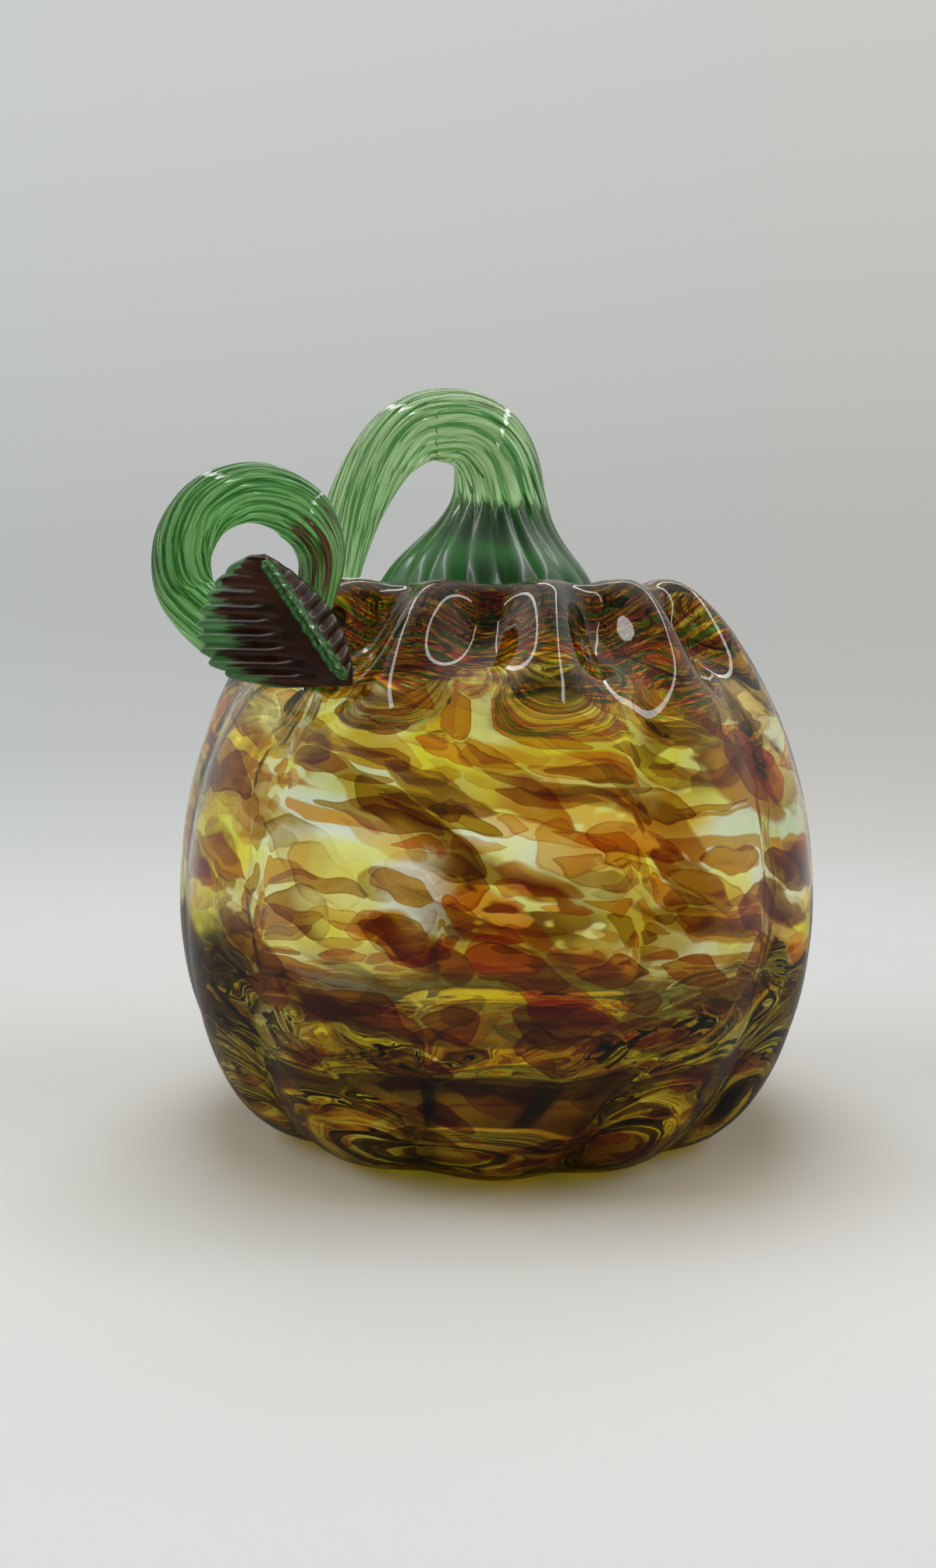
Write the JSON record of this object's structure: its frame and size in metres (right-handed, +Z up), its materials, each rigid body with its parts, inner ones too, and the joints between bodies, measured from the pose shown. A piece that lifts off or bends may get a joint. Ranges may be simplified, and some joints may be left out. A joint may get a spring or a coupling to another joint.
{
  "type": "glass pumpkin ornament",
  "caption": "Hollow hand-blown pumpkin of ribbed clear glass with melted colour chips, a twisted cane stem, a curled tendril and a pressed leaf.",
  "frame": {"origin": "on the body's axis, in the plane of the ground foot ring that it stands on", "axes": "+Z up along the body's axis, -Y towards the front with the leaf and the curl on its left, +X to the right of the front"},
  "size_m": [0.1544, 0.1542, 0.175],
  "materials": {
    "body_glass": "fire-polished clear glass with amber, brown, orange, yellow and olive colour chips melted in",
    "stem_glass": "fire-polished twisted green cane, darker at the foot",
    "tendril_glass": "fire-polished twisted green cane",
    "leaf_glass": "brown over green glass with pressed ribs",
    "bead_glass": "bright green glass thread with small bubbles"
  },
  "bodies": {
    "root": {"body": "body_glass", "stem": "stem_glass", "tendril": "tendril_glass", "leaf": "leaf_glass", "leaf_bead": "bead_glass"}
  },
  "joints": []
}
